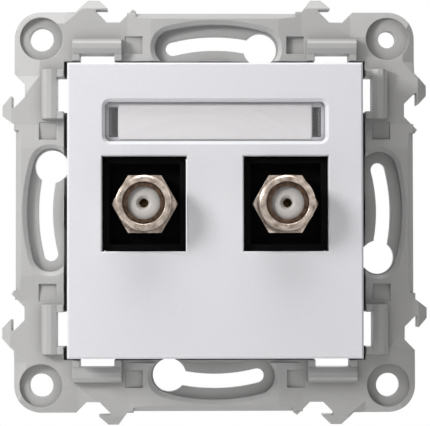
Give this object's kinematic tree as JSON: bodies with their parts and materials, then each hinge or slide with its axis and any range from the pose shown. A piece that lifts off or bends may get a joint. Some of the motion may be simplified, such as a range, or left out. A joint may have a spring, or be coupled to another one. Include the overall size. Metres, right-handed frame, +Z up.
{
  "type": "antenna wall socket",
  "caption": "Flush-mounted twin antenna wall socket: threaded F-type connectors and a label window in a white centre plate on a light-grey mounting frame.",
  "frame": {"origin": "centre of the 60 mm fixing-screw circle, in the plane of the wall", "axes": "-Y points out of the wall into the room, +Z is up and +X is to the right as the socket hangs"},
  "size_m": [0.0754, 0.0285, 0.0754],
  "materials": {
    "frame_plastic": "satin light-grey moulding",
    "plate_plastic": "glossy white moulding",
    "cover_plastic": "clear moulding",
    "label_paper": "blank white card",
    "jack_plastic": "black moulding",
    "carrier_plastic": "black moulding",
    "nickel": "nickel plating",
    "insulator_plastic": "white insulator",
    "contact_metal": "gold-tinted contact",
    "steel": "nickel-plated steel"
  },
  "bodies": {
    "root": {"support_frame": "frame_plastic", "centre_plate": "plate_plastic", "label_cover": "cover_plastic", "label_card": "label_paper", "jack_carrier": "carrier_plastic", "left_jack_housing": "jack_plastic", "right_jack_housing": "jack_plastic", "left_connector_shell": "nickel", "right_connector_shell": "nickel", "left_front_insulator": "insulator_plastic", "right_front_insulator": "insulator_plastic", "left_rear_insulator": "insulator_plastic", "right_rear_insulator": "insulator_plastic", "left_centre_contact": "contact_metal", "right_centre_contact": "contact_metal", "left_retaining_ring": "steel", "right_retaining_ring": "steel", "left_lock_washer": "steel", "right_lock_washer": "steel", "left_rear_nut": "steel", "right_rear_nut": "steel"}
  },
  "joints": []
}
